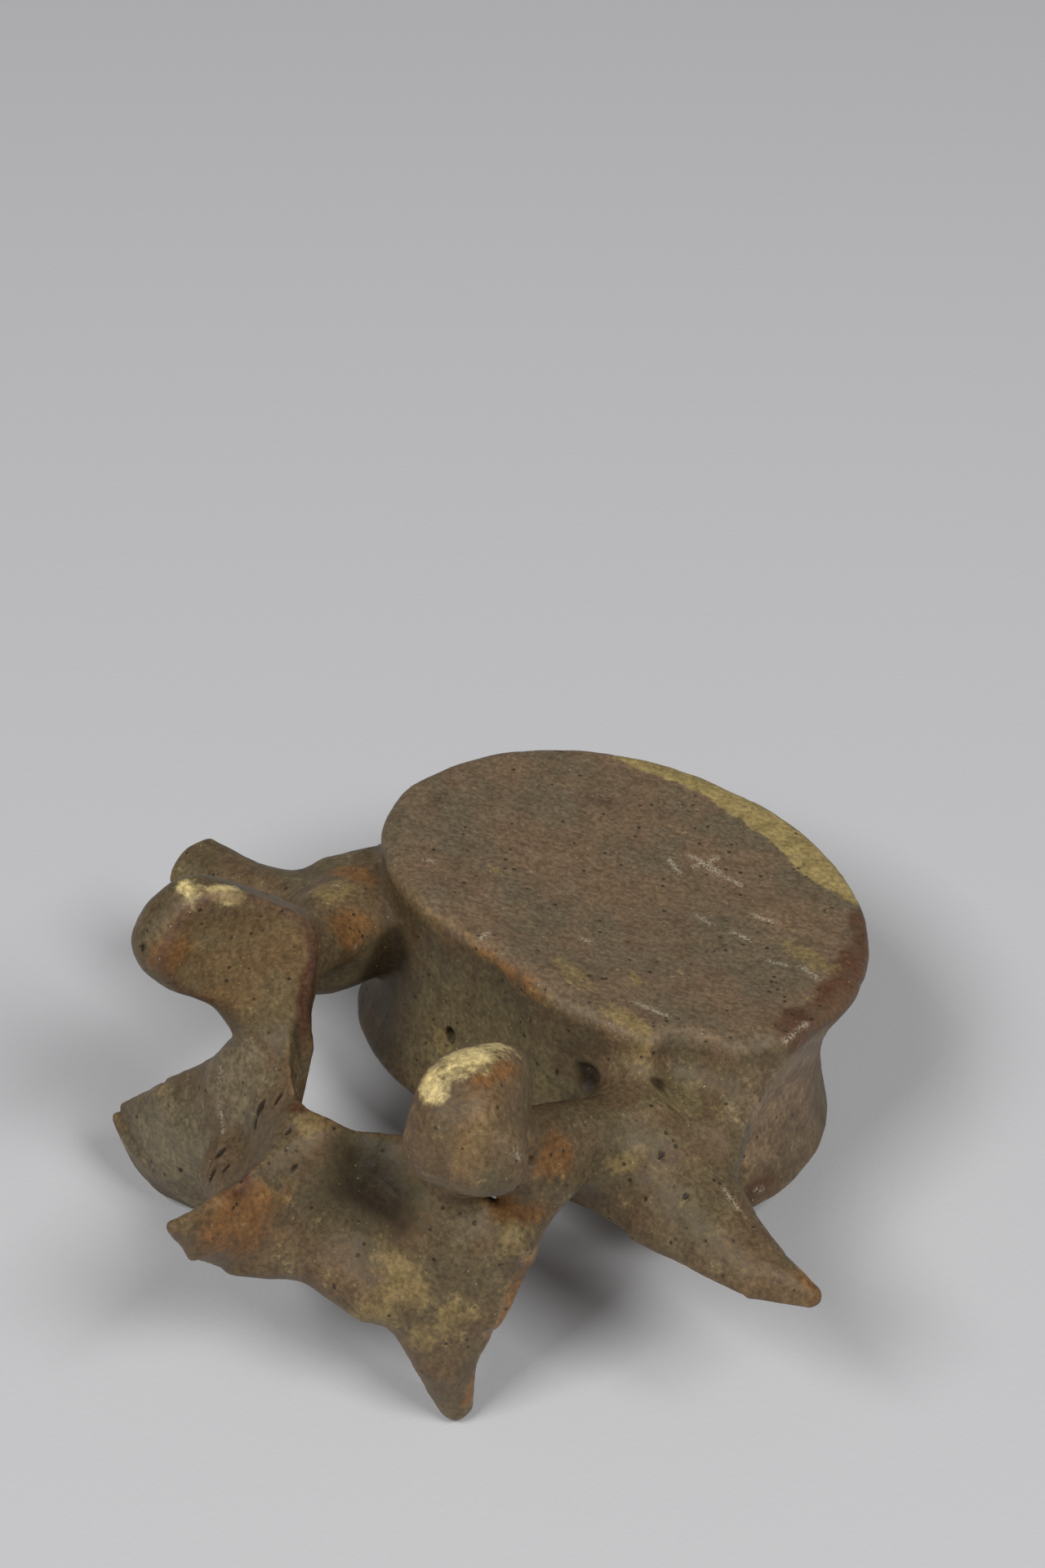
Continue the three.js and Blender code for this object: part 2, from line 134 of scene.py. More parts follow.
RIGHT_SIDE = dict(
    pedicle=[(19.5, -12, -9.8, 5.0, 4.8), (18.8, -22, -7.9, 3.8, 3.6), (16.8, -31, -6.4, 3.8, 4.3)],
    pars_edge=[(19.6, -30.0, -8.2, 2.2, 2.4), (19.2, -33.2, -13.4, 2.6, 1.8)],
    transverse=[(21.5, -17.5, -10.6, 8.4, 6.0), (27, -19.6, -11.2, 5.8, 4.4),
                (33, -20.5, -11.2, 4.1, 2.9), (38.2, -20.9, -11.4, 2.8, 1.9),
                (42.9, -19.1, -12.0, 1.1, 0.9)],
    buttress=[(22.0, -5.0, -5.0, 4.0, 2.4), (24.6, -13.0, -9.5, 4.0, 2.8)],
    inferior=[(15.0, -35.6, -15.5, 6.8, 2.9), (15.6, -38.0, -22, 6.0, 2.8),
              (16.8, -37.6, -28.8, 3.3, 2.4), (17.5, -35.6, -35.4, 1.8, 1.6)],
    inferior_wide=(0.78, 0.6, 0.16),
    superior=((16.0, -39.3, 2.7), (8.0, 5.4, 6.7)),
    superior_top=((13.6, -40.0, 8.0), (-0.67, 0.20, 0.71)),
    knob=((20.6, -41.2, 1.6), (3.8, 3.2, 3.8)),
    facet=(-4.3, -47.1, 2.0),
    facet_radii=(19, 19, 24),
)
LEFT_SIDE = dict(
    pedicle=[(19.5, -12, -9.8, 5.0, 4.8), (18.8, -22, -6.9, 3.8, 2.5), (16.4, -31, -5.4, 3.6, 3.0)],
    pars_edge=[(14.2, -33.0, -5.0, 2.8, 2.4), (12.8, -35.6, -12.0, 2.4, 2.0)],
    transverse=[(21.0, -18, -10.6, 7.2, 5.4), (27.0, -19.2, -10.8, 4.8, 3.8),
                (33, -20.2, -11.4, 3.8, 2.8), (40.0, -20.6, -11.4, 3.3, 1.4)],
    buttress=[(20.5, -8.0, -7.0, 3.4, 2.2), (25.2, -14.2, -9.4, 3.2, 2.2)],
    inferior=[(13.0, -36.8, -15.5, 3.8, 2.8), (17.0, -38.3, -23.2, 6.4, 2.9),
              (20.8, -37.6, -30.2, 8.2, 2.8), (22.2, -36.6, -33.4, 6.0, 2.4)],
    inferior_wide=(0.97, -0.1, -0.2),
    superior=((16.0, -38.4, 2.0), (8.8, 4.3, 7.0)),
    superior_top=((17.0, -41.8, 9.6), (0.05, 0.50, 0.80)),
    knob=((19.0, -43.6, 2.2), (2.8, 3.0, 3.0)),
    facet=(-2.6, -47.2, 2.0),
    facet_radii=(19, 19, 24),
)
SUPERIOR_AXES = ((0.45, -0.88, 0.16), (0.89, 0.45, 0), (0, 0.16, 1))
SUPERIOR_ROUNDNESS = 2.3
LENS = 1.65  # a rod's section is edged like a lens
# The way each chain of rods is wide.
WIDE = dict(
    pedicle=(1, 0, 0),
    transverse=(0, 0.9, 0.42),
    buttress=(0.4, 0.3, 0.86),
    pars=(0.8, -0.55, 0.1),
    lamina=(0, 0.3, 1),
    lower_edge=(0, 0.25, 1),
    spine=(0, 0.12, 1),
)
# How far each join or cut is smoothed.
JOIN = dict(
    transverse=4.5,
    buttress=3.5,
    knob=2.0,
    superior_top=2.4,
    superior=4.0,
    pars=3.5,
    pars_edge=2.5,
    facet=0.7,
    lamina=3.0,
    lower_edge=3.0,
    inferior=3.5,
    sides=3.0,
    spine_lip=1.5,
    spine=3.5,
    canal=0.5,
    body=3.6,
    body_lean=1.2,  # the join with the body is wider on the right and narrower on the left
    scoop=0.6,
)
LEAN_REACH = 15  # distance from the middle over which that join changes
WALL_SCOOP = ((36.2, 3.5, -11.5), (13.4, 20.5, 10.0))
CANAL_APEX = ((-0.8, -34.6, -7.0), (9.2, 6.8, 13.0), 1.35)


def body_reach(p):
    """How far out a point is on the body. It is 1 at the wall."""
    x, y, z = p.T
    share = np.clip(-z / (BODY_HEIGHT + BODY_WEDGE * y), 0, 1)
    waist = np.sin(np.pi * share) ** WAIST_SHARPNESS
    size = {}
    for part, upper in UPPER_FACE.items():
        size[part] = upper + (LOWER_FACE[part] - upper) * share - WAIST[part] * waist
    front = y > 0
    power = np.where(front, FRONT_ROUNDNESS, BACK_ROUNDNESS)
    depth = np.where(front, size["front"], size["back"])
    return ((np.abs(x) / size["side"]) ** power + (np.abs(y) / depth) ** power) ** (1 / power)


def wall_distance(p):
    """Distance to the upright wall of the body, with its shallow groove at the back."""
    x, y, z = p.T
    reach = np.maximum(body_reach(p), 1e-6)
    profile = np.exp(-((x / CANAL_HOLLOW["half_width"]) ** 2))
    groove = np.where(y > 0, 0, CANAL_HOLLOW["depth"] * profile)
    return (reach - 1) * np.hypot(x, y) / reach + groove


def body(p):
    x, y, z = p.T
    spread = (x / DISH_SPREAD["side"]) ** 2 + (y / DISH_SPREAD["front"]) ** 2
    dish = np.exp(-(spread**2))
    upper = z + UPPER_DISH * dish
    lower = -(z + BODY_HEIGHT + BODY_WEDGE * y) + LOWER_DISH * dish
    return carve(wall_distance(p), np.maximum(upper, lower), RIM_ROUNDING)


def superior_process(p, side):
    """The upper joint process with its knob, cut flat at the top."""
    process = lump(p, *side["superior"], SUPERIOR_AXES, SUPERIOR_ROUNDNESS)
    process = blend(process, lump(p, *side["knob"]), JOIN["knob"])
    top, upward = side["superior_top"]
    return carve(process, (p - np.array(top)) @ unit(upward), JOIN["superior_top"])


def arch_side(p, side):
    """One side of the arch, drawn at the right. The left one is given mirrored points."""
    shape = limb(p, side["pedicle"], WIDE["pedicle"])
    shape = blend(shape, limb(p, side["transverse"], WIDE["transverse"], LENS), JOIN["transverse"])
    shape = blend(shape, limb(p, side["buttress"], WIDE["buttress"]), JOIN["buttress"])
    shape = blend(shape, superior_process(p, side), JOIN["superior"])
    shape = blend(shape, limb(p, PARS, WIDE["pars"]), JOIN["pars"])
    shape = blend(shape, limb(p, side["pars_edge"], WIDE["pars"]), JOIN["pars_edge"])
    shape = carve(shape, -lump(p, side["facet"], side["facet_radii"]), JOIN["facet"])
    shape = blend(shape, limb(p, LAMINA, WIDE["lamina"], LENS), JOIN["lamina"])
    lower_edge = limb(p, LAMINA_LOWER_EDGE, WIDE["lower_edge"], LENS)
    shape = blend(shape, lower_edge, JOIN["lower_edge"])
    inferior = limb(p, side["inferior"], side["inferior_wide"], LENS)
    return blend(shape, inferior, JOIN["inferior"])


def main_shape(p):
    """The whole bone as the solids have it."""
    left = arch_side(p * [-1, 1, 1], LEFT_SIDE)
    arch = blend(arch_side(p, RIGHT_SIDE), left, JOIN["sides"])
    spine = limb(p, SPINE, WIDE["spine"], LENS)
    spine = blend(spine, lump(p, *SPINE_LIP), JOIN["spine_lip"])
    arch = blend(arch, spine, JOIN["spine"])
    centre, radii, power = CANAL_APEX
    arch = carve(arch, -lump(p, centre, radii, power=power), JOIN["canal"])
    lean = np.clip(p[:, 0] / LEAN_REACH, -1, 1)
    shape = blend(body(p), arch, JOIN["body"] + JOIN["body_lean"] * lean)
    mirrored = np.abs(p) * [1, 0, 0] + p * [0, 1, 1]
    return carve(shape, -lump(mirrored, *WALL_SCOOP), JOIN["scoop"])


# Hollows and openings: a centre, radii and the softness of the edge.
HOLLOWS = [
    ((23.0, -14.4, -1.0), (4.8, 3.5, 4.1), 1.2),  # between the rim and the right transverse process
    ((-5.0, -17.8, -13.6), (0.75, 2.4, 0.95), 0.4),  # basivertebral hole
    ((12.8, -17.6, -7.8), (2.2, 1.6, 1.7), 0.5),  # pit beside the right pedicle
    ((19.8, -33.6, -4.4), (1.2, 0.8, 0.6), 0.3),  # small hole beside the right upper process
]
HOLLOW_MARGIN = 3  # distance past a hollow beyond which it changes nothing


def fine_shape(p):
    """The main shape with its hollows."""
    shape = main_shape(p)
    for centre, radii, soft in HOLLOWS:
        near = np.linalg.norm(p - np.array(centre), axis=1) < max(radii) + HOLLOW_MARGIN
        shape[near] = carve(shape[near], -lump(p[near], centre, radii), soft)
    return shape


# ---------------------------------------------------------------- the skin
# The skin is drawn over a lattice that is split twice, each time only near the skin.
LOW = np.array([-44.0, -62.0, -39.0])
HIGH = np.array([47.0, 27.0, 12.0])
FINE_CELL = 0.3
SPLIT = 3
SPLIT_REACHES = (4.2, 1.5)
SLOPE_STEP = 0.02
LARGEST_STEP = 0.2  # how far a point of the skin may be moved to lie on the shape
FLATTEST_SLOPE = 0.1


def fine_lattice():
    """The lattice's low corner, spacing and values, which are exact only near the skin."""
    low, cell = LOW, FINE_CELL * SPLIT ** len(SPLIT_REACHES)
    size = np.ceil((HIGH - LOW) / cell).astype(int) + 1
    corners = np.indices(size).reshape(3, -1).T
    lattice = fine_shape(low + corners * cell).reshape(size)
    for reach in SPLIT_REACHES:
        cell /= SPLIT
        low = low - cell
        for axis in range(3):
            lattice = np.repeat(lattice, SPLIT, axis=axis)
        near = np.argwhere(np.abs(lattice) < reach)
        lattice[tuple(near.T)] = fine_shape(low + near * cell)
    return low, cell, lattice


def skin_points(lattice, cells):
    """The mean of the skin's crossings on the twelve edges of each cell."""
    total = np.zeros((len(cells), 3))
    found = np.zeros(len(cells))
    for axis in range(3):
        others = [k for k in range(3) if k != axis]
        for a, b in ((0, 0), (0, 1), (1, 0), (1, 1)):
            start = np.zeros(3, int)
            start[others[0]], start[others[1]] = a, b
            end = start.copy()
            end[axis] = 1
            inner = lattice[tuple((cells + start).T)]
            outer = lattice[tuple((cells + end).T)]
            crossed = (inner < 0) != (outer < 0)
            point = (cells + start).astype(float)
            point[crossed, axis] += (inner / (inner - outer + 1e-30))[crossed]
            total[crossed] += point[crossed]
            found[crossed] += 1
    return total / found[:, None]


def skin_quads(lattice, cells):
    """One quad round each lattice edge that the skin crosses, facing outwards."""
    ids = np.full(lattice.shape, -1, np.int32)
    ids[tuple(cells.T)] = np.arange(len(cells))
    inside = lattice < 0
    quads = []
    for axis in range(3):
        ahead = np.roll(inside, -1, axis)
        at = np.argwhere(inside != ahead)
        b = np.eye(3, dtype=int)[(axis + 1) % 3]
        c = np.eye(3, dtype=int)[(axis + 2) % 3]
        quad = np.stack([ids[tuple((at - back).T)] for back in (b + c, c, 0 * b, b)], 1)
        outward = inside[tuple(at.T)]
        quad[~outward] = quad[~outward][:, ::-1]
        quads.append(quad)
    return np.concatenate(quads)


def slopes(p, value):
    ahead = [fine_shape(p + SLOPE_STEP * axis) for axis in np.eye(3)]
    return np.stack([(there - value) / SLOPE_STEP for there in ahead], 1)


def crossed_cells(lattice):
    """The cells with a corner inside the bone and a corner outside it."""
    inside = lattice < 0
    corners = itertools.product((0, -1), repeat=3)
    count = np.sum([np.roll(inside, corner, (0, 1, 2)) for corner in corners], axis=0)
    return np.argwhere((count > 0) & (count < 8))


def skin():
    """The skin's points in millimetres, their normals and the quads between them."""
    low, cell, lattice = fine_lattice()
    cells = crossed_cells(lattice)
    points = low + skin_points(lattice, cells) * cell
    value = fine_shape(points)
    slope = slopes(points, value)
    step = value / np.maximum((slope**2).sum(1), FLATTEST_SLOPE)
    points -= slope * step[:, None].clip(-LARGEST_STEP, LARGEST_STEP)
    normals = slope / np.linalg.norm(slope, axis=1, keepdims=True)
    return points, normals, skin_quads(lattice, cells)


# ---------------------------------------------------------------- noise and masks
HASH_PRIMES = np.array([73856093, 19349663, 83492791])
SEED_PRIME = 2654435761
MIXING_PRIME = 1274126177
HASH_RANGE = 0x7FFFFFFF


def hashed(corners, seed):
    """A number from -1 to 1 for each lattice corner."""
    parts = corners * HASH_PRIMES
    h = parts[:, 0] ^ parts[:, 1] ^ parts[:, 2] ^ seed * SEED_PRIME
    h = (h ^ (h >> 13)) * MIXING_PRIME & HASH_RANGE
    return h / (HASH_RANGE // 2) - 1


def noise(p, scale, seed):
    """Smooth value noise from -1 to 1, with features about scale millimetres across."""
    q = p / scale
    base = np.floor(q).astype(np.int64)
    t = q - base
    t = t * t * (3 - 2 * t)
    total = np.zeros(len(p))
    for corner in itertools.product((0, 1), repeat=3):
        weight = np.prod(np.where(corner, t, 1 - t), axis=1)
        total += weight * hashed(base + corner, seed)
    return total


# How the stains' edges are moved: reach and size in millimetres, and a seed for each axis.
WARPS = ((0.9, 3.0, (51, 52, 53)), (0.4, 1.1, (54, 55, 56)))


def warped(p):
    """The points moved a little by noise, so that no stain has a smooth edge."""
    moved = p
    for reach, size, seeds in WARPS:
        moved = moved + reach * np.stack([noise(p, size, seed) for seed in seeds], 1)
    return moved


PATCH_SHARPNESS = 1.2


def patches(p, places):
    """A mask from 0 to 1 that is high near any of the places, each a centre and its radii."""
    mask = np.zeros(len(p))
    for centre, radii in places:
        reach = (((p - np.array(centre)) / np.array(radii)) ** 2).sum(1)
        mask = np.maximum(mask, np.exp(-(reach**PATCH_SHARPNESS)))
    return mask


def strokes(p, lines, width):
    """A mask from 0 to 1 along straight lines, each from one point to another."""
    mask = np.zeros(len(p))
    for start, end in lines:
        start, end = np.array(start, float), np.array(end, float)
        run = end - start
        share = np.clip((p - start) @ run / max(run @ run, 1e-9), 0, 1)
        gap = np.linalg.norm(p - start - share[:, None] * run, axis=1)
        mask = np.maximum(mask, np.exp(-((gap / width) ** 2)))
    return mask


def soft_step(value, width):
    """0 well below zero and 1 well above it, with a straight slope of the given width."""
    return np.clip(value / width + 0.5, 0, 1)


BAND_EDGE = dict(inner=0.8, outer=0.3, ends=0.12)  # the ends' is a share of the band's length
BAND_DEPTH = 2.4  # how far below the upper face a band reaches


def rim_band(p, band):
    """A band along the upper rim. It is narrower towards its ends."""
    angle = np.degrees(np.arctan2(p[:, 1], p[:, 0]))
    off = (angle - band["middle"] + 180) % 360 - 180
    share = np.where(off > 0, off / band["to_left"], -off / band["to_right"])
    inward = -wall_distance(p * [1, 1, 0])
    width = band["width"] * (1 - band["taper"] * share**2)
    mask = soft_step(width - inward, BAND_EDGE["inner"])
    mask *= soft_step(inward - band["start"], BAND_EDGE["outer"])
    mask *= soft_step(1 - share, BAND_EDGE["ends"])
    return mask * np.clip(p[:, 2] + BAND_DEPTH, 0, 1)


# ---------------------------------------------------------------- stains, wear, pores, painted shade and painted light
# Places are in the bone's own axes, in millimetres: a centre and its reach along each axis.
CREAM = [
    ((-16.6, -42.8, 7.8), (1.6, 2.0, 1.1)),
    ((-15.4, -40.0, 7.8), (1.5, 2.0, 1.0)),
    ((15.6, -44.2, 7.8), (2.2, 2.2, 1.8)),
    ((15.9, -40.4, 8.9), (2.7, 3.0, 1.7)),
    ((15.9, -36.6, 8.1), (2.4, 2.2, 1.6)),
]
TAN = [
    ((13.2, -41.3, -18.8), (3.2, 2.6, 2.8)),
    ((11.8, -43.6, -23.4), (2.4, 2.4, 3.0)),
    ((16.5, -40.7, -23.9), (2.0, 2.2, 2.2)),
    ((18.6, -38.9, -21.3), (1.5, 1.8, 2.2)),
    ((20.2, -34.0, -13.2), (2.0, 2.0, 2.2)),
    ((22.9, -24.3, -6.7), (3.4, 1.6, 1.6)),
    ((5.5, -14.2, -0.3), (3.2, 1.7, 1.2)),
    ((9.9, -9.5, -0.4), (1.6, 0.5, 1.0)),
    ((18.6, 6.8, 0.0), (3.6, 1.5, 1.2)),
    ((-10.2, -7.4, -0.5), (0.9, 0.6, 1.0)),
    ((15.6, -15.6, -0.6), (4.6, 1.5, 1.8)),
    ((-6.3, -17.8, -14.6), (1.3, 1.5, 1.5)),
    ((0.8, -42.6, -7.9), (1.6, 1.8, 1.2)),
    ((-20.6, -19.8, -4.2), (2.2, 2.2, 1.6)),
    ((18.4, -46.6, 0.6), (0.7, 0.7, 0.7)),
    ((-27.0, -38.0, -31.0), (2.0, 3.0, 3.0)),
]
ORANGE = [
    ((1.8, -51.5, -14.5), (2.0, 5.5, 4.5)),
    ((-15.8, -22.0, -5.6), (2.4, 3.2, 2.6)),
    ((-21.8, -15.8, -4.4), (2.2, 1.8, 1.8)),
    ((-16.6, -45.4, 2.2), (2.2, 2.4, 2.8)),
    ((19.3, -39.2, 7.9), (0.9, 4.4, 1.0)),
    ((19.2, -33.6, -10.0), (4.2, 2.6, 1.8)),
    ((42.9, -19.1, -11.2), (1.8, 1.6, 1.4)),
    ((20.4, -31.0, -4.2), (1.5, 2.4, 2.4)),
    ((1.7, -18.0, -1.3), (4.5, 1.4, 1.3)),
]
RUSTY = [
    ((23.4, 4.6, 0.0), (1.2, 2.6, 1.2)),
    ((24.2, -0.8, 0.0), (1.6, 1.8, 1.2)),
    ((-9.8, -33.0, -3.6), (1.2, 1.8, 7.5)),
    ((-0.4, -41.6, -7.6), (3.6, 1.2, 1.0)),
    ((0.4, -48.5, -11.4), (1.2, 5.0, 1.2)),
    ((25.0, -5.0, -20.5), (1.5, 5.0, 2.0)),
]
OLIVE = [
    ((21.6, -14.4, -3.4), (3.8, 2.8, 2.6)),
    ((-1.0, -20.0, -12.0), (17.0, 4.5, 10.0)),
    ((9.0, -40.5, -10.5), (6.0, 3.0, 3.0)),
    ((-18.4, -42.4, 8.4), (3.0, 1.0, 1.2)),
    ((17.0, -35.0, -34.0), (3.0, 3.0, 4.0)),
]
GREY = [
    ((-18.0, -39.5, -26.5), (8.0, 4.0, 8.0)),
    ((-12.0, -38.0, -14.0), (5.0, 4.0, 5.0)),
    ((-24.0, 0.0, -12.0), (5.0, 18.0, 9.0)),
    ((0.0, 23.0, -12.0), (20.0, 5.0, 8.0)),
]
# Partly painted light: on the right side wall of the body this lightens the wall as falling light
# would, over the wall's own tint. Along the outer edge of the right lower process it is a pale line.
PINK_AND_PAINTED_LIGHT = [
    ((25.5, -2.0, -11.0), (4.5, 12.0, 9.0)),
    ((21.2, -34.0, -15.0), (0.8, 1.0, 3.0)),
    ((20.4, -35.2, -22.0), (0.8, 1.0, 5.0)),
    ((19.0, -35.4, -30.0), (0.8, 1.0, 4.0)),
]
# Painted shade: darker colour in the corners beside the pedicles and along the upper edge of the
# hollow by the right transverse process. On the right lamina it is partly the lamina's own dark
# colour.
SHADE = [
    ((19.6, -15.6, -3.6), (2.4, 0.8, 0.8)),
    ((12.2, -17.0, -7.2), (1.6, 1.4, 2.0)),
    ((-14.6, -17.4, -9.6), (2.6, 2.4, 5.0)),
    ((8.0, -40.8, -12.0), (5.5, 3.6, 4.0)),
]
GOLDEN = [
    ((-14.4, -38.2, 0.6), (4.0, 6.0, 6.0)),
    ((22.5, -14.1, -3.4), (4.6, 4.0, 2.6)),
    ((17.0, -40.0, -3.0), (4.0, 5.0, 3.0)),
    ((10.0, -41.0, -16.0), (6.0, 4.0, 6.0)),
    ((15.0, -15.6, -0.6), (6.0, 2.0, 2.0)),
]
KNOBBLY = [
    ((20.5, -43.0, 3.0), (5.0, 5.0, 6.0)),
    ((-18.5, -45.0, 3.0), (3.0, 3.0, 4.0)),
    ((24.0, -15.0, -4.0), (7.0, 5.0, 4.0)),
    ((0.0, -52.0, -16.0), (4.0, 8.0, 5.0)),
]
# Bands along the upper rim: directions in degrees about the body's middle, and widths.
YELLOW_BAND = dict(middle=68, to_right=20, to_left=66, start=-9, width=5.0, taper=0.6)
RUST_BAND = dict(middle=14, to_right=26, to_left=36, start=-9, width=3.4, taper=0.5)
RIM_LINE = dict(middle=-108, to_right=30, to_left=40, start=0.1, width=0.5, taper=0.2)
# Chalky scratches, mostly on the upper endplate and its rim, each from one point to another.
SCRATCHES = [
    ((-0.1, 10.5, -0.5), (3.4, 11.0, -0.5)), ((1.4, 9.4, -0.6), (1.9, 12.5, -0.4)),
    ((1.4, 10.4, -0.5), (6.5, 11.0, -0.4)), ((-1.1, 8.4, -0.6), (1.1, 7.5, -0.6)),
    ((7.0, 3.6, -0.7), (8.9, 3.5, -0.6)), ((11.2, 4.1, -0.5), (12.9, 4.5, -0.4)),
    ((10.5, 7.8, -0.4), (12.9, 8.5, -0.3)), ((16.5, 3.3, -0.3), (18.3, 4.0, -0.1)),
    ((19.2, 4.9, -0.1), (21.7, 4.5, 0.0)), ((25.8, -5.5, 0.0), (25.3, -1.6, 0.0)),
    ((13.1, -12.6, -0.1), (16.4, -11.8, 0.0)), ((-3.1, -17.4, -0.2), (-3.1, -16.1, -0.1)),
    ((2.6, -8.9, -0.6), (3.3, -8.6, -0.6)), ((-15.2, -12.8, 0.0), (-14.7, -12.2, 0.0)),
    ((-21.1, -19.1, -4.0), (-20.3, -18.7, -4.0)), ((-15.2, -21.8, -6.7), (-14.8, -21.8, -6.4)),
    ((31.0, -18.6, -7.7), (33.3, -19.0, -8.3)), ((23.4, -41.3, 4.0), (24.0, -41.3, 3.2)),
    ((25.0, -3.4, -20.4), (25.4, -2.2, -20.8)), ((-14.4, -39.5, -13.0), (-11.8, -41.1, -18.2)),
]
# Pores: a centre and a length.
PORES = [
    ((-5.0, -17.4, -13.7), 1.3), ((19.8, -33.7, -4.4), 0.6), ((12.6, -17.2, -7.4), 1.3),
    ((-6.1, -40.2, -10.7), 0.7), ((-7.9, -40.4, -13.0), 1.0), ((-7.8, -40.9, -14.6), 0.8),
    ((-10.4, -42.5, -19.0), 1.0), ((-8.4, -43.7, -19.0), 0.6), ((-9.7, -44.3, -20.7), 0.8),
    ((-2.8, -46.2, -13.3), 0.6), ((-17.6, -40.2, -27.4), 0.8), ((-0.6, -44.1, -8.9), 0.6),
    ((2.0, -45.4, -11.0), 0.5), ((8.6, -17.2, -9.3), 0.4), ((6.2, -17.3, -9.8), 0.3),
    ((25.1, -21.1, -6.4), 0.7), ((29.2, -21.9, -8.0), 0.6), ((-18.6, -47.1, 2.6), 0.6),
    ((-9.1, 12.8, -0.2), 0.3), ((1.4, -4.9, -0.7), 0.3), ((9.6, -5.4, -0.6), 0.3),
    ((7.3, -12.8, -0.2), 0.5), ((12.8, -12.9, -0.1), 0.4), ((10.8, 2.7, -0.6), 0.4),
    ((1.5, 15.3, -0.2), 0.4), ((9.9, 17.2, 0.0), 0.35), ((-10.4, -12.2, -0.2), 0.5),
]
PORE_GRAIN = unit((0.1, 0.45, 0.85))  # the way the pores run
# The worn, orange outer edge of the right lower process.
WORN_EDGE = [
    ((21.5, -33.4, -14.7), (20.9, -34.6, -21.4)), ((20.9, -34.6, -21.4), (19.2, -35.8, -33.3)),
]
# Dark smudges on the upper endplate.
SMUDGES = [
    ((-20.4, 2.6, 0.0), (-18.6, -0.6, 0.0)), ((-21.9, -4.0, 0.0), (-20.6, -6.0, 0.0)),
    ((-12.4, -12.2, -0.1), (-9.6, -12.6, -0.2)), ((-13.0, 9.0, 0.0), (-10.5, 11.5, 0.0)),
]


PORE_SHAPE = dict(length=1.3, width=0.28, least_width=0.1, sharpness=1.5)


def pore_mask(p):
    """1 in the pores, which are drawn out along the grain."""
    mask = np.zeros(len(p))
    for centre, length in PORES:
        offset = p - np.array(centre)
        along = offset @ PORE_GRAIN
        across = np.linalg.norm(offset - along[:, None] * PORE_GRAIN, axis=1)
        half_length = PORE_SHAPE["length"] * length
        half_width = PORE_SHAPE["width"] * length + PORE_SHAPE["least_width"]
        reach = (along / half_length) ** 2 + (across / half_width) ** 2
        mask = np.maximum(mask, np.exp(-(reach ** PORE_SHAPE["sharpness"])))
    return mask


FACE_REACH = 1.6  # how near a point has to be to a joint's face to belong to it
UPPER_FACE_LEVEL = -0.3
WALL_MARGIN = 0.6  # how far past the body's wall its ends still reach
FACET_LOW = -7.8  # level at which the facets fade out
FACET_FADE = 3.0


def joint_face(p):
    """Two masks: the flat ends of the body, and the hollow upper facets."""
    z = p[:, 2]
    gap = np.minimum(np.abs(z - UPPER_FACE_LEVEL), np.abs(z + BODY_HEIGHT))
    ends = np.clip(FACE_REACH - gap, 0, 1) * np.clip(WALL_MARGIN - wall_distance(p), 0, 1)
    facets = np.zeros(len(p))
    for side, sign in ((RIGHT_SIDE, 1), (LEFT_SIDE, -1)):
        gap = np.abs(lump(p * [sign, 1, 1], side["facet"], side["facet_radii"]))
        facet = np.clip(FACE_REACH - gap, 0, 1) * np.clip((z - FACET_LOW) / FACET_FADE, 0, 1)
        facets = np.maximum(facets, facet)
    return ends, facets


# Heights and depths of the surface relief in millimetres.
HEIGHTS = dict(
    swell=0.16, ripple=0.07, joint_ripple=0.04, grit=0.03, ring=0.2, rim_line=0.06, knob=0.4,
)
DEPTHS = dict(pit=0.1, pore=0.3)
# The size in millimetres and the seed of each noise.
NOISES = dict(
    swell=(5.0, 11), ripple=(1.7, 12), grit=(0.7, 13), ring=(4.0, 14), pit=(0.9, 15), knob=(2.8, 16),
)
# The raised ring inside the rim of each endplate, and how it varies along its length.
RING = dict(inward=2.6, half_width=1.6, mean=0.7, swing=0.6)
RING_LEVEL = 0.7  # the least upward or downward share of a normal that belongs to an endplate
PIT_CONTRAST = 3
PIT_THRESHOLD = 1.9
PIT_LOSS = 0.7  # how much of the pits is missing on the facets


def raised_ring(p, normals, ends):
    """A low ring just inside the rim of the body's ends, uneven along its length."""
    inward = -wall_distance(p * [1, 1, 0])
    ring = np.exp(-(((inward - RING["inward"]) / RING["half_width"]) ** 2))
    level = np.abs(normals[:, 2]) > RING_LEVEL
    uneven = RING["mean"] + RING["swing"] * noise(p, *NOISES["ring"])
    return ring * ends * level * uneven


def relief(p, normals):
    """Small heights in millimetres, added along the normals."""
    ends, facets = joint_face(p)
    smooth = np.maximum(ends, facets)
    ripple = HEIGHTS["ripple"] + (HEIGHTS["joint_ripple"] - HEIGHTS["ripple"]) * smooth
    pits = np.clip(noise(p, *NOISES["pit"]) * PIT_CONTRAST - PIT_THRESHOLD, 0, 1)
    pits *= 1 - PIT_LOSS * facets
    height = HEIGHTS["swell"] * noise(p, *NOISES["swell"])
    height += ripple * noise(p, *NOISES["ripple"])
    height += HEIGHTS["grit"] * noise(p, *NOISES["grit"])
    height += HEIGHTS["ring"] * raised_ring(p, normals, ends)
    height += HEIGHTS["rim_line"] * rim_band(p, RIM_LINE)
    height += HEIGHTS["knob"] * noise(p, *NOISES["knob"]) * patches(p, KNOBBLY)
    return height - DEPTHS["pit"] * pits - DEPTHS["pore"] * pore_mask(p)


def curvature(p, normals, reach):
    """Above zero on edges and below zero in hollows, from the shape's values near the skin."""
    side = np.cross(normals, np.roll(normals, 1, axis=1) + 0.01)
    side /= np.linalg.norm(side, axis=1, keepdims=True)
    other = np.cross(normals, side)
    total = np.zeros(len(p))
    for way in (side, -side, other, -other):
        total += fine_shape(p + reach * way)
    return total / (4 * reach)


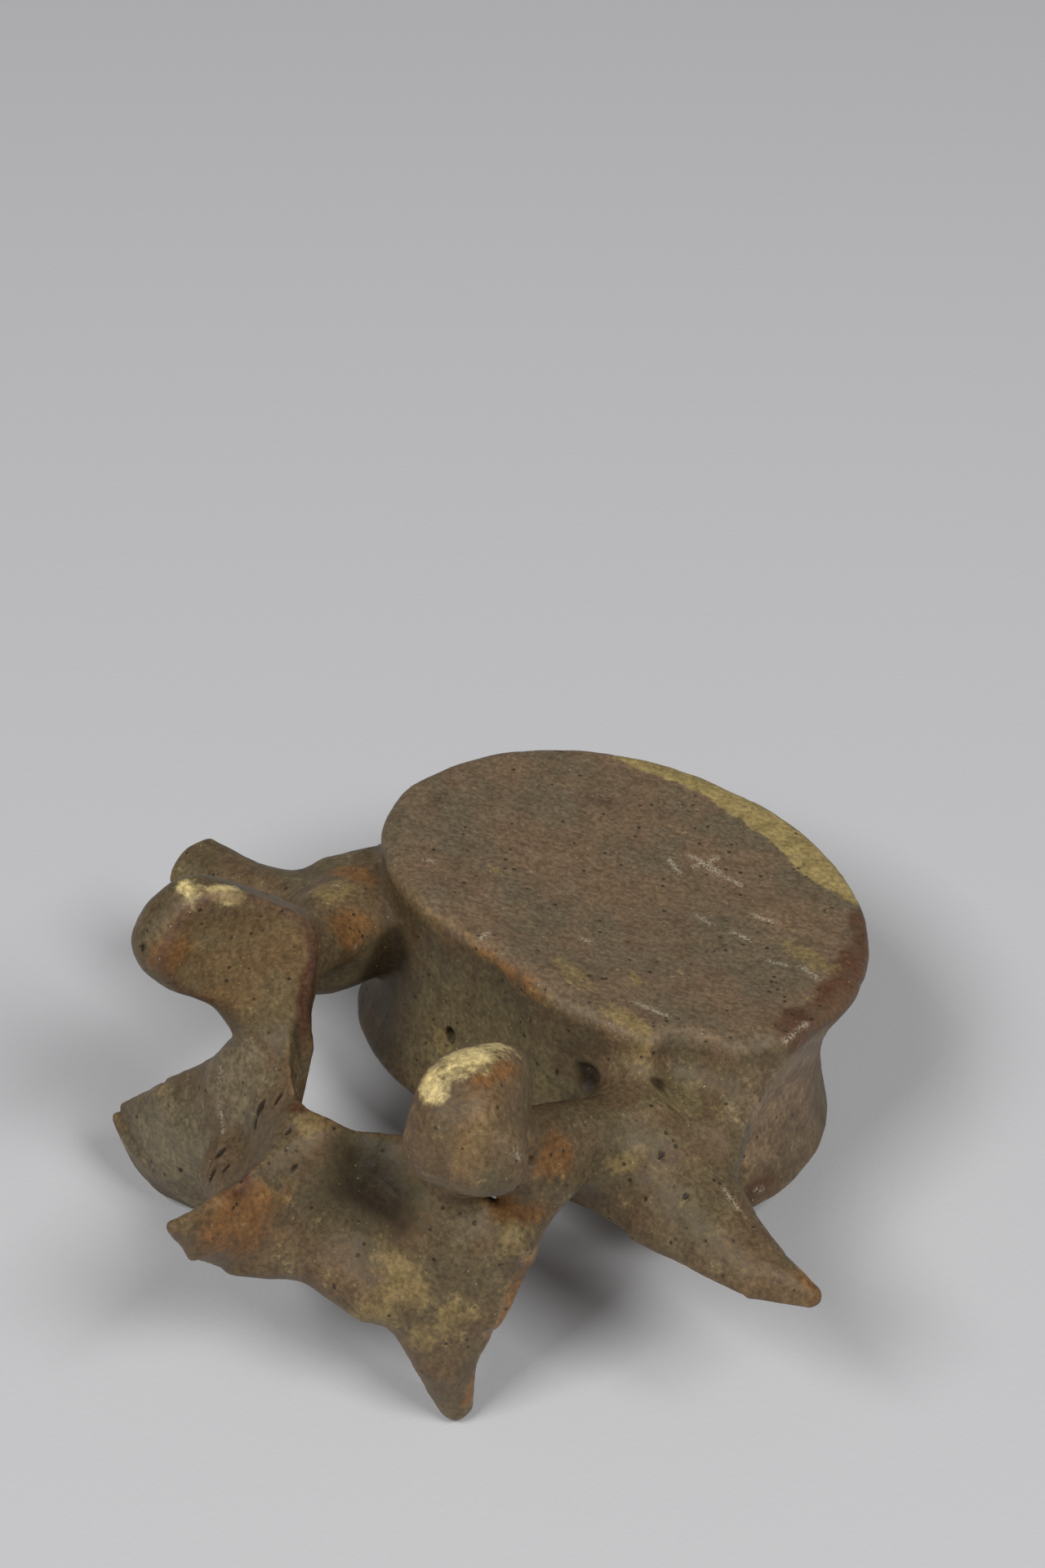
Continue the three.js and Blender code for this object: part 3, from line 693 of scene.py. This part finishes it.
def to_floor(p):
    """From the bone's own axes in millimetres to the resting pose in metres."""
    c, s = math.cos(REST_PITCH), math.sin(REST_PITCH)
    pitch = np.array([[1, 0, 0], [0, c, s], [0, -s, c]])
    c, s = math.cos(REST_ROLL), math.sin(REST_ROLL)
    roll = np.array([[c, 0, s], [0, 1, 0], [-s, 0, c]])
    return (p @ (pitch @ roll).T + TO_FLOOR) * MILLIMETRE


WIDTHS = dict(worn_edge=1.1, scratch=0.24, smudge=0.7)
EDGE_REACH = 0.8  # how far round a point its curvature is read
EDGE_GAIN = 4


def skin_masks(p, normals):
    """How strong each stain, mark, painted shade, painted light and kind of surface is at each point
    of the skin.
    """
    q = warped(p)
    ends, facets = joint_face(p)
    worn_edge = strokes(0.3 * q + 0.7 * p, WORN_EDGE, WIDTHS["worn_edge"])
    return dict(
        cream=patches(q, CREAM),
        yellow=rim_band(0.4 * q + 0.6 * p, YELLOW_BAND),
        tan=patches(q, TAN),
        orange=np.maximum(patches(q, ORANGE), 0.8 * worn_edge),
        rusty=np.maximum(patches(q, RUSTY), 0.6 * rim_band(q, RUST_BAND)),
        olive=patches(q, OLIVE),
        grey=patches(q, GREY),
        pink_and_painted_light=patches(q, PINK_AND_PAINTED_LIGHT),
        shade=patches(q, SHADE),
        golden=patches(q, GOLDEN),
        rim_line=rim_band(0.5 * (p + q), RIM_LINE),
        scratch=strokes(p, SCRATCHES, WIDTHS["scratch"]),
        smudge=strokes(q, SMUDGES, WIDTHS["smudge"]),
        pore=pore_mask(p),
        ends=ends,
        facets=facets,
        edge=np.clip(curvature(p, normals, EDGE_REACH) * EDGE_GAIN, -1, 1),
    )


def bone_object():
    """The bone in its resting pose, with its masks as attributes of the points."""
    points, normals, quads = skin()
    placed = to_floor(points + relief(points, normals)[:, None] * normals)
    placed[:, 2] = np.maximum(placed[:, 2], 0)
    mesh = bpy.data.meshes.new("vertebra_bone")
    mesh.vertices.add(len(placed))
    mesh.vertices.foreach_set("co", placed.ravel())
    mesh.loops.add(quads.size)
    mesh.loops.foreach_set("vertex_index", quads.ravel())
    mesh.polygons.add(len(quads))
    mesh.polygons.foreach_set("loop_start", np.arange(0, quads.size, 4))
    mesh.update(calc_edges=True)
    mesh.validate()
    mesh.polygons.foreach_set("use_smooth", np.ones(len(mesh.polygons), bool))
    for name, mask in skin_masks(points, normals).items():
        layer = mesh.attributes.new(name, "FLOAT", "POINT")
        layer.data.foreach_set("value", mask.astype(np.float32))
    bone = bpy.data.objects.new("vertebra_bone", mesh)
    bpy.context.collection.objects.link(bone)
    return bone


# ---------------------------------------------------------------- material
def colour(red, green, blue):
    """A screen colour, brighter than near black, as linear light."""
    linear = [((c / 255 + 0.055) / 1.055) ** 2.4 for c in (red, green, blue)]
    return (*linear, 1)


class Nodes:
    """Short names for the few node kinds that the materials use."""

    def __init__(self, name):
        self.material = bpy.data.materials.new(name)
        self.material.use_nodes = True
        self.tree = self.material.node_tree
        self.shader = self.tree.nodes["Principled BSDF"]

    def add(self, kind, **settings):
        made = self.tree.nodes.new(kind)
        for key, value in settings.items():
            setattr(made, key, value)
        return made

    def feed(self, socket, value):
        if isinstance(value, bpy.types.NodeSocket):
            self.tree.links.new(value, socket)
        else:
            socket.default_value = value

    def mask(self, name):
        return self.add("ShaderNodeAttribute", attribute_name=name).outputs["Fac"]

    def math(self, operation, a, b):
        made = self.add("ShaderNodeMath", operation=operation)
        self.feed(made.inputs[0], a)
        self.feed(made.inputs[1], b)
        return made.outputs[0]

    def times(self, first, *others):
        for other in others:
            first = self.math("MULTIPLY", first, other)
        return first

    def ramp(self, value, low, high, start=0.0, end=1.0):
        made = self.add("ShaderNodeMapRange", interpolation_type="SMOOTHSTEP")
        for socket, number in zip(made.inputs[:5], (value, low, high, start, end)):
            self.feed(socket, number)
        return made.outputs[0]

    def mix(self, share, a, b, blend_type="MIX"):
        made = self.add("ShaderNodeMix", data_type="RGBA", blend_type=blend_type)
        self.feed(made.inputs[0], share)
        self.feed(made.inputs[6], a)
        self.feed(made.inputs[7], b)
        return made.outputs[2]

    def place(self, stretch=(1, 1, 1), turn=0.0):
        """Object coordinates, drawn out along each axis after a turn about the vertical."""
        spot = self.add("ShaderNodeTexCoord").outputs["Object"]
        made = self.add("ShaderNodeMapping", vector_type="TEXTURE")
        self.feed(made.inputs["Vector"], spot)
        made.inputs["Rotation"].default_value = (0, 0, turn)
        made.inputs["Scale"].default_value = stretch
        return made.outputs["Vector"]

    def noise(self, millimetres, detail=3.0, rough=0.55, stretch=(1, 1, 1), turn=0.0):
        made = self.add("ShaderNodeTexNoise")
        self.feed(made.inputs["Vector"], self.place(stretch, turn))
        made.inputs["Scale"].default_value = 1 / (millimetres * MILLIMETRE)
        made.inputs["Detail"].default_value = detail
        made.inputs["Roughness"].default_value = rough
        return made.outputs["Fac"]

    def dots(self, millimetres, radius):
        """Small round spots, one in each cell of the given size, with a radius as its share."""
        made = self.add("ShaderNodeTexVoronoi")
        self.feed(made.inputs["Vector"], self.place())
        made.inputs["Scale"].default_value = 1 / (millimetres * MILLIMETRE)
        return self.ramp(made.outputs["Distance"], radius, 0.5 * radius)

    def bump(self, height, millimetres, under=None):
        made = self.add("ShaderNodeBump")
        made.inputs["Distance"].default_value = millimetres * MILLIMETRE
        self.feed(made.inputs["Height"], height)
        if under is not None:
            self.feed(made.inputs["Normal"], under)
        return made.outputs["Normal"]


STREAK = 7  # how many times longer than wide the streaks are


class Grain:
    """The noises of the bone's surface, from broad clouds down to fine grain."""

    def __init__(self, n):
        self.broad = n.noise(8, detail=3.0)
        self.mid = n.noise(2.4, detail=4.0, rough=0.6)
        self.fine = n.noise(0.5, detail=4.0, rough=0.65)
        self.upright = n.noise(0.5, rough=0.6, stretch=(1, 1, STREAK))
        self.level = n.noise(0.5, rough=0.6, stretch=(STREAK, 1, 1), turn=math.radians(37))


# The clean bone's two tones on each kind of surface.
TONES = dict(
    arch=((110, 89, 64), (100, 87, 63)),
    plate=((124, 102, 79), (112, 99, 78)),
    facet=((132, 105, 70), (118, 100, 70)),
)
# The small marks, and the painted shade in hollows: colour and strength.
MARKS = dict(
    mottle=((98, 76, 60), 0.45),
    edge=((140, 112, 76), 0.25),
    # painted shade: darker colour in the hollows, where shade falls
    hollow=((48, 42, 32), 0.4),
    rolled_rim=((94, 66, 54), 0.6),
    rim_line=((142, 112, 66), 0.45),
    speck=((40, 31, 24), 0.75),
    smudge=((58, 48, 38), 0.6),
    chalk=((196, 184, 160), 0.8),
    pore=((38, 29, 20), 0.85),
)
GOLD = (168, 144, 86)
GOLD_SHARE = dict(anywhere=0.12, golden=0.6)
# The stains, the painted shade and the partly painted light in the order they lie over each other:
# mask, colour and strength.
STAINS = [
    ("grey", (122, 110, 86), 0.75),
    ("olive", (110, 98, 68), 0.85),
    # partly painted light on the right side wall, over the wall's own tint
    ("pink_and_painted_light", (136, 113, 86), 0.85),
    ("orange", (132, 90, 48), 0.7),
    ("rusty", (84, 50, 33), 0.8),
    ("tan", (140, 120, 78), 0.7),
    ("yellow", (162, 142, 92), 0.95),
    ("cream", (214, 192, 134), 1.0),
    # painted shade in corners and recesses; on the lamina it is partly the bone's own dark colour
    ("shade", (46, 34, 19), 0.85),
]


def stained(n, base, grain, name, tint, strength):
    """Lays one patch of stain, painted shade or painted light over the colour, its edge broken up by
    the grain.
    """
    broken = n.times(n.math("SUBTRACT", grain.mid, 0.5), 1.1)
    grainy = n.times(n.math("SUBTRACT", grain.fine, 0.5), 0.5)
    spread = n.math("ADD", n.mask(name), n.math("ADD", broken, grainy))
    return n.mix(n.times(n.ramp(spread, 0.15, 0.8), strength), base, colour(*tint))


def marked(n, base, name, where):
    """Lays one kind of small mark over the colour, where its mask is high."""
    tint, strength = MARKS[name]
    return n.mix(n.times(where, strength), base, colour(*tint))


def bone_colour(n, grain):
    """The clean bone's tones, its stains with the painted shade and light, lighter colour on its
    edges, and painted shade in its hollows.
    """
    tone = n.ramp(n.math("ADD", grain.broad, n.times(grain.mid, 0.5)), 0.6, 0.9)
    pairs = (TONES["arch"], TONES["plate"], TONES["facet"])
    arch, plate, facet = (n.mix(tone, colour(*one), colour(*other)) for one, other in pairs)
    plate = marked(n, plate, "mottle", n.ramp(grain.mid, 0.5, 0.66))
    tint = n.mix(n.mask("ends"), arch, plate)
    tint = n.mix(n.times(n.mask("facets"), 0.8), tint, facet)
    for name, stain, strength in STAINS:
        tint = stained(n, tint, grain, name, stain, strength)
    edge = n.mask("edge")
    tint = marked(n, tint, "edge", n.ramp(edge, 0.3, 0.9))
    # painted shade in the hollows
    tint = marked(n, tint, "hollow", n.ramp(edge, -0.15, -0.7))
    tint = marked(n, tint, "rolled_rim", n.times(n.mask("facets"), n.ramp(edge, 0.15, 0.6)))
    return marked(n, tint, "rim_line", n.mask("rim_line"))


def gold_grains(n):
    """How much gold shows: tiny grains in clusters, but none where shade is painted."""
    grains = n.times(n.dots(0.5, 0.3), n.ramp(n.noise(1.1, 1.0), 0.45, 0.6))
    share = n.math("ADD", n.times(n.mask("golden"), GOLD_SHARE["golden"]), GOLD_SHARE["anywhere"])
    return n.times(grains, n.times(share, n.ramp(n.mask("shade"), 0.5, 0.05)))


def weathered(n, tint, grain, specks):
    """Darkens and lightens the colour with grain, specks, scratches and pores."""
    streaks = n.mix(n.mask("ends"), grain.upright, grain.level)
    fine = n.ramp(grain.fine, 0.3, 0.7, 0.72, 1.32)
    mid = n.ramp(grain.mid, 0.3, 0.7, 0.82, 1.18)
    streaked = n.ramp(streaks, 0.3, 0.7, 0.9, 1.1)
    tint = n.mix(1.0, tint, n.times(fine, mid, streaked), "MULTIPLY")
    tint = n.mix(gold_grains(n), tint, colour(*GOLD))
    tint = marked(n, tint, "speck", specks)
    tint = marked(n, tint, "smudge", n.times(n.mask("smudge"), n.ramp(streaks, 0.4, 0.62)))
    chalk = n.times(n.mask("scratch"), n.ramp(n.noise(0.25, 2.0), 0.4, 0.58))
    dust = n.times(n.dots(0.9, 0.1), n.ramp(n.noise(2.6, 1.0), 0.52, 0.62))
    tint = marked(n, tint, "chalk", n.math("MAXIMUM", chalk, dust))
    pore = n.math("ADD", n.mask("pore"), n.times(n.math("SUBTRACT", grain.fine, 0.5), 0.8))
    return marked(n, tint, "pore", n.ramp(pore, 0.25, 0.65))


def bone_material():
    n = Nodes("aged_bone")
    grain = Grain(n)
    specks = n.times(n.dots(1.2, 0.22), n.ramp(n.noise(2.1, 1.0), 0.5, 0.6))
    tint = weathered(n, bone_colour(n, grain), grain, specks)
    n.feed(n.shader.inputs["Base Color"], tint)
    n.feed(n.shader.inputs["Roughness"], n.ramp(grain.fine, 0.3, 0.7, 0.42, 0.6))
    n.shader.inputs["Specular IOR Level"].default_value = 0.25
    height = n.bump(grain.mid, 0.10)
    height = n.bump(grain.upright, 0.04, height)
    height = n.bump(grain.fine, 0.05, height)
    height = n.bump(n.math("SUBTRACT", 1.0, specks), 0.06, height)
    n.feed(n.shader.inputs["Normal"], height)
    return n.material


def floor_material():
    n = Nodes("pale_floor")
    n.shader.inputs["Base Color"].default_value = (0.665, 0.665, 0.68, 1)
    n.shader.inputs["Roughness"].default_value = 0.9
    n.shader.inputs["Specular IOR Level"].default_value = 0.2
    n.feed(n.shader.inputs["Normal"], n.bump(n.noise(0.5, 2.0), 0.03))
    return n.material


# ---------------------------------------------------------------- scene
FLOOR_HALF = 1.2
FLOOR_DROP = 0.0002  # the floor is this far below the bone, so that nothing cuts into it
KEY_SIZE = 0.34
KEY_WATTS = 4.1
KEY_TARGET = (0, 0, 0.02)  # the middle of the bone
LENS_LENGTH = 74.06
CAMERA_PLACE = (0.147313, -0.149872, 0.258033)
CAMERA_TURN = (46.108, -0.320, 44.308)  # in degrees


def floor():
    mesh = bpy.data.meshes.new("floor")
    corners = [(-1, -1), (1, -1), (1, 1), (-1, 1)]
    places = [(x * FLOOR_HALF, y * FLOOR_HALF, -FLOOR_DROP) for x, y in corners]
    mesh.from_pydata(places, [], [(0, 1, 2, 3)])
    made = bpy.data.objects.new("floor", mesh)
    bpy.context.collection.objects.link(made)
    made.data.materials.append(floor_material())


def key_light(name, place):
    """A soft square light that faces the middle of the bone."""
    lamp = bpy.data.lights.new(name, "AREA")
    lamp.size = KEY_SIZE
    lamp.energy = KEY_WATTS
    made = bpy.data.objects.new(name, lamp)
    bpy.context.collection.objects.link(made)
    made.location = place
    ray = Vector(KEY_TARGET) - Vector(place)
    made.rotation_euler = ray.to_track_quat("-Z", "Y").to_euler()


def lights():
    key_light("left_key", (-0.059, -0.544, 0.78))
    key_light("right_key", (0.545, 0.04, 0.78))
    world = bpy.data.worlds.new("soft_surround")
    world.use_nodes = True
    background = world.node_tree.nodes["Background"]
    background.inputs["Color"].default_value = (0.98, 0.99, 1, 1)
    background.inputs["Strength"].default_value = 0.10
    bpy.context.scene.world = world
    bpy.context.scene.view_settings.view_transform = "Standard"


def camera():
    eye = bpy.data.cameras.new("camera")
    eye.lens = LENS_LENGTH
    eye.sensor_width = 36
    eye.clip_start = 0.01
    eye.clip_end = 10
    made = bpy.data.objects.new("camera", eye)
    bpy.context.collection.objects.link(made)
    made.location = CAMERA_PLACE
    made.rotation_euler = [math.radians(angle) for angle in CAMERA_TURN]
    bpy.context.scene.camera = made


camera()
floor()
lights()
vertebra = bone_object()
vertebra.data.materials.append(bone_material())
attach(vertebra, "root")
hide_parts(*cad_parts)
